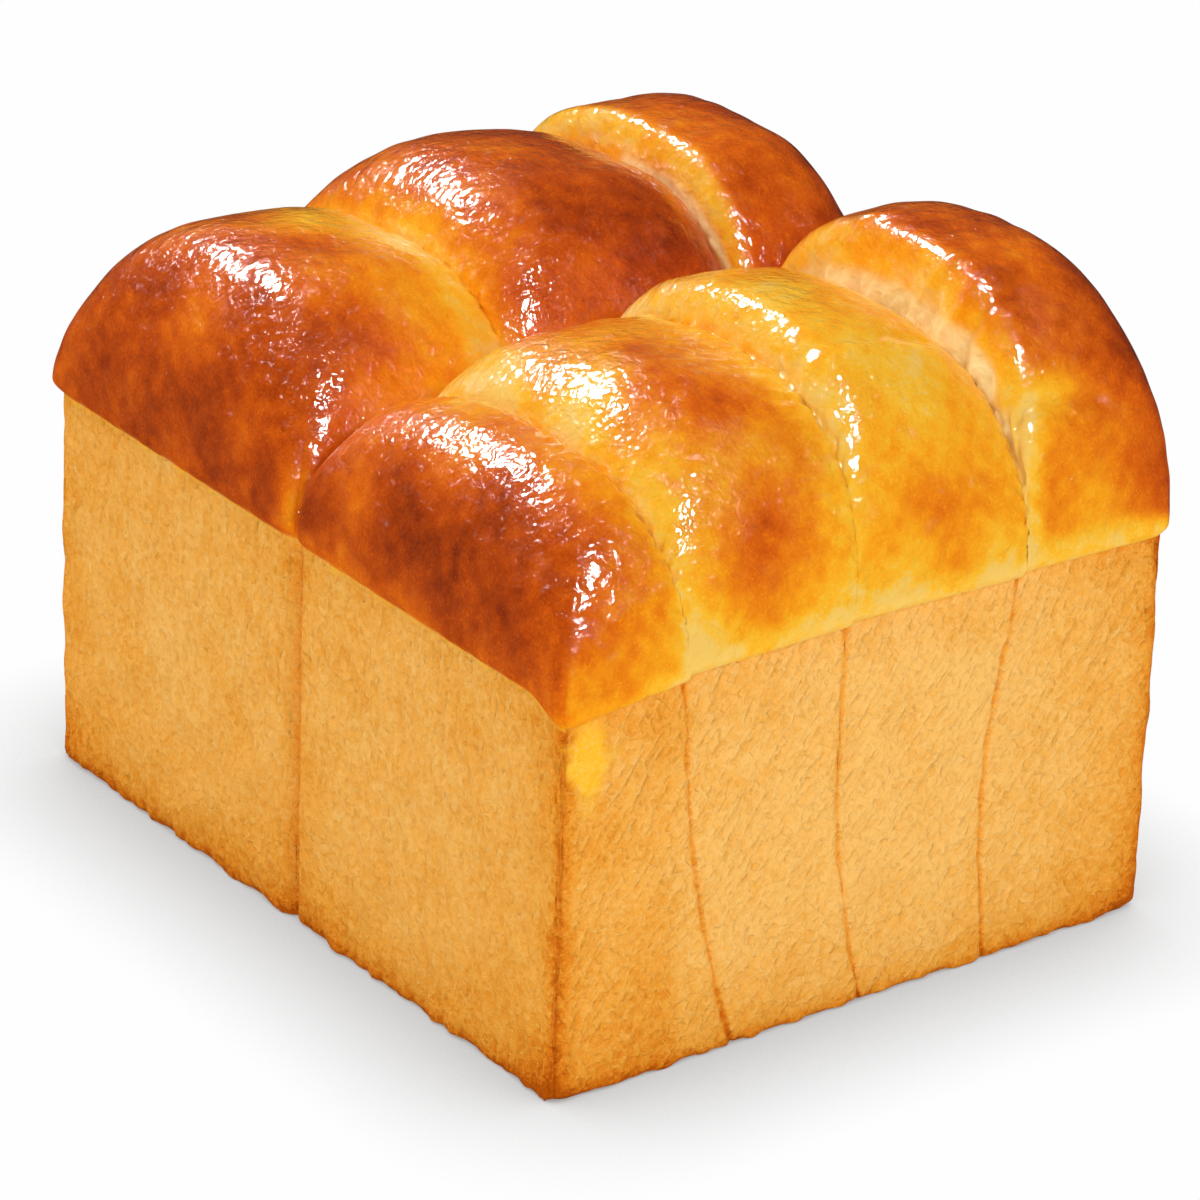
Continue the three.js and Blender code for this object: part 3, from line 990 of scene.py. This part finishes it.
heights = []
for bumps in (WALL_BUMPS, GLAZE_BUMPS):
    height = 0.0
    for layer, share in bumps:
        height = add_node(crust, "ShaderNodeMath", {0: layer, 1: share, 2: height}, MULTIPLY_ADD)
    heights.append(height)
both = {"Factor": on_crust, "A": heights[0], "B": heights[1]}
surface_height = add_node(crust, "ShaderNodeMix", both, output="Result")
bump = add_node(crust, "ShaderNodeBump", {"Distance": BUMP_DEPTH, "Height": surface_height})
both = {"Factor": on_crust, "A": WALL_ROUGHNESS, "B": CRUST_ROUGHNESS}
roughness = add_node(crust, "ShaderNodeMix", both, output="Result")
glazed = add_node(crust, "ShaderNodeMapRange", {
    "Value": painted["over_rim"],
    "From Min": GLAZE_EDGE[0],
    "From Max": GLAZE_EDGE[1],
}, SMOOTH_STEP)
whole_skin = add_node(crust, "ShaderNodeMath", {0: 1.0, 1: painted["torn"]}, SUBTRACT)
glazed = add_node(crust, "ShaderNodeMath", {0: glazed, 1: whole_skin}, MULTIPLY)
bread = add_node(crust, "ShaderNodeBsdfPrincipled", {
    "Base Color": loaf_colour,
    "Roughness": roughness,
    "IOR": CRUST_IOR,
    "Specular IOR Level": CRUST_SPECULAR,
    "Coat Weight": glazed,
    "Coat Roughness": GLAZE_ROUGHNESS,
    "Coat IOR": GLAZE_IOR,
    "Normal": bump,
    "Coat Normal": bump,
})
add_node(crust, "ShaderNodeOutputMaterial", {"Surface": bread})
for loaf_row in rows:
    loaf_row.data.materials.append(baked_crust)
print("material:", baked_crust.name, "with", len(crust.nodes), "nodes")

# %% [markdown]
# Both rows ride on the loaf's one body and stand for its solid.

# %% Join the rows to the frame
for loaf_row in rows:
    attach(loaf_row, "root")
    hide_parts("loaf")
print("rows ride on the loaf's body")

# %% [markdown]
# A plain white floor in a soft white room, with a key light behind on the left, a weaker one in
# front and a wide fill on the left. They light the loaf alone. The floor is paper that glows
# evenly by itself, with a painted contact shadow: its glow is mixed to a soft grey only where
# the loaf stands close above it. The three lights are left out of reflections: two small bright
# ones, a little nearer, make the white clusters on the glaze, and only those. The room hardly
# shows in the glaze either, as on a studio table with black cards around it, which keeps the
# browns deep. A light has its azimuth and elevation in degrees, its distance and size in metres
# and its watts.

# %% Floor and lights
ROOM_STRENGTH = 0.60
ROOM_IN_GLAZE = 0.03
FLOOR_REACH = 6
LIGHT_AIM = Vector((0, 0, 0.12))
WIDE_LIGHTS = [
    ("key_light", -168, 44, 1.6, (0.8, 0.8), 15),
    ("front_light", -8, 38, 1.7, (0.5, 0.5), 6),
    ("fill_light", -48, 10, 2.0, (1.6, 1.0), 5.5),
]
GLINTS = [
    ("key_glint", -168, 44, 1.5, (0.44, 0.34), 46),
    ("front_glint", -10, 41, 1.5, (0.25, 0.27), 28),
]
SHADE_REACH = 0.055
SHADE_SAMPLES = 4
SHADE_COLOUR = "#8c8480"
PAPER_COLOUR = "#fefefe"

loaf_only = bpy.data.collections.new("loaf_only")
for loaf_row in rows:
    loaf_only.objects.link(loaf_row)


def floor_plane():
    mesh = bpy.data.meshes.new("floor")
    corners = [(FLOOR_REACH * x, FLOOR_REACH * y, 0) for x, y in ((-1, -1), (1, -1), (1, 1), (-1, 1))]
    mesh.from_pydata(corners, [], [(0, 1, 2, 3)])
    floor = bpy.data.objects.new("floor", mesh)
    bpy.context.scene.collection.objects.link(floor)
    floor.visible_glossy = False
    material = bpy.data.materials.new("glowing_paper_painted_shadow")
    material.use_nodes = True
    tree = material.node_tree
    tree.nodes.clear()
    reach = {"Distance": SHADE_REACH}
    # Painted contact shadow: the glow is mixed toward a grey where little of the sky is open.
    open_sky = add_node(tree, "ShaderNodeAmbientOcclusion", reach, {"samples": SHADE_SAMPLES}, "AO")
    shaded = {"Factor": open_sky, "A": linear(SHADE_COLOUR), "B": linear(PAPER_COLOUR)}
    shade = add_node(tree, "ShaderNodeMix", shaded, COLOUR_MIX, "Result")
    glow = add_node(tree, "ShaderNodeEmission", {"Color": shade})
    add_node(tree, "ShaderNodeOutputMaterial", {"Surface": glow})
    mesh.materials.append(material)
    return floor


def soft_light(name, azimuth, elevation, distance, size, power):
    a, e = math.radians(azimuth), math.radians(elevation)
    direction = Vector((math.sin(a) * math.cos(e), -math.cos(a) * math.cos(e), math.sin(e)))
    data = bpy.data.lights.new(name, "AREA")
    data.shape = "RECTANGLE"
    data.size, data.size_y = size
    data.energy = power
    light = bpy.data.objects.new(name, data)
    bpy.context.scene.collection.objects.link(light)
    light.location = direction * distance + LIGHT_AIM
    light.rotation_euler = direction.to_track_quat("Z", "Y").to_euler()
    light.light_linking.receiver_collection = loaf_only
    return light


def white_room():
    world = bpy.data.worlds.new("white_room")
    world.use_nodes = True
    tree = world.node_tree
    tree.nodes.clear()
    in_glaze = add_node(tree, "ShaderNodeLightPath", {}, output="Is Glossy Ray")
    strengths = {"Factor": in_glaze, "A": ROOM_STRENGTH, "B": ROOM_IN_GLAZE}
    strength = add_node(tree, "ShaderNodeMix", strengths, output="Result")
    white = add_node(tree, "ShaderNodeBackground", {"Color": (1, 1, 1, 1), "Strength": strength})
    add_node(tree, "ShaderNodeOutputWorld", {"Surface": white})
    bpy.context.scene.world = world


floor_plane()
for settings in WIDE_LIGHTS:
    soft_light(*settings).visible_glossy = False
for settings in GLINTS:
    soft_light(*settings).visible_diffuse = False
white_room()
bpy.context.scene.view_settings.view_transform = "Standard"

# %% [markdown]
# The camera stands at the front left corner, a little above the loaf, with a long lens. Its
# place was fitted to the loaf's corners and seams: an azimuth, an elevation, a slight roll,
# a distance and the lens.

# %% Camera
CAMERA_AZIMUTH = -37.36
CAMERA_ELEVATION = 25.76
CAMERA_ROLL = 2.01
CAMERA_DISTANCE = 1.81765
CAMERA_TARGET = Vector((0, 0, 0.075))
CAMERA_SIDESTEP = (0.00105, -0.00356)
LENS_MM = 198.13
SENSOR_MM = 36


def photo_camera():
    a, e, roll = (math.radians(v) for v in (CAMERA_AZIMUTH, CAMERA_ELEVATION, CAMERA_ROLL))
    back = Vector((math.sin(a) * math.cos(e), -math.cos(a) * math.cos(e), math.sin(e)))
    right = Vector((math.cos(a), math.sin(a), 0))
    up = back.cross(right)
    data = bpy.data.cameras.new("photo_camera")
    data.lens = LENS_MM
    data.sensor_width = SENSOR_MM
    camera = bpy.data.objects.new("photo_camera", data)
    bpy.context.scene.collection.objects.link(camera)
    sidestep = right * CAMERA_SIDESTEP[0] + up * CAMERA_SIDESTEP[1]
    place = CAMERA_TARGET + back * CAMERA_DISTANCE + sidestep
    turned_right = math.cos(roll) * right + math.sin(roll) * up
    turned_up = -math.sin(roll) * right + math.cos(roll) * up
    axes = Matrix((turned_right, turned_up, back)).transposed()
    camera.matrix_world = Matrix.Translation(place) @ axes.to_4x4()
    bpy.context.scene.camera = camera
    return camera


print("camera at", [round(v, 3) for v in photo_camera().matrix_world.translation])
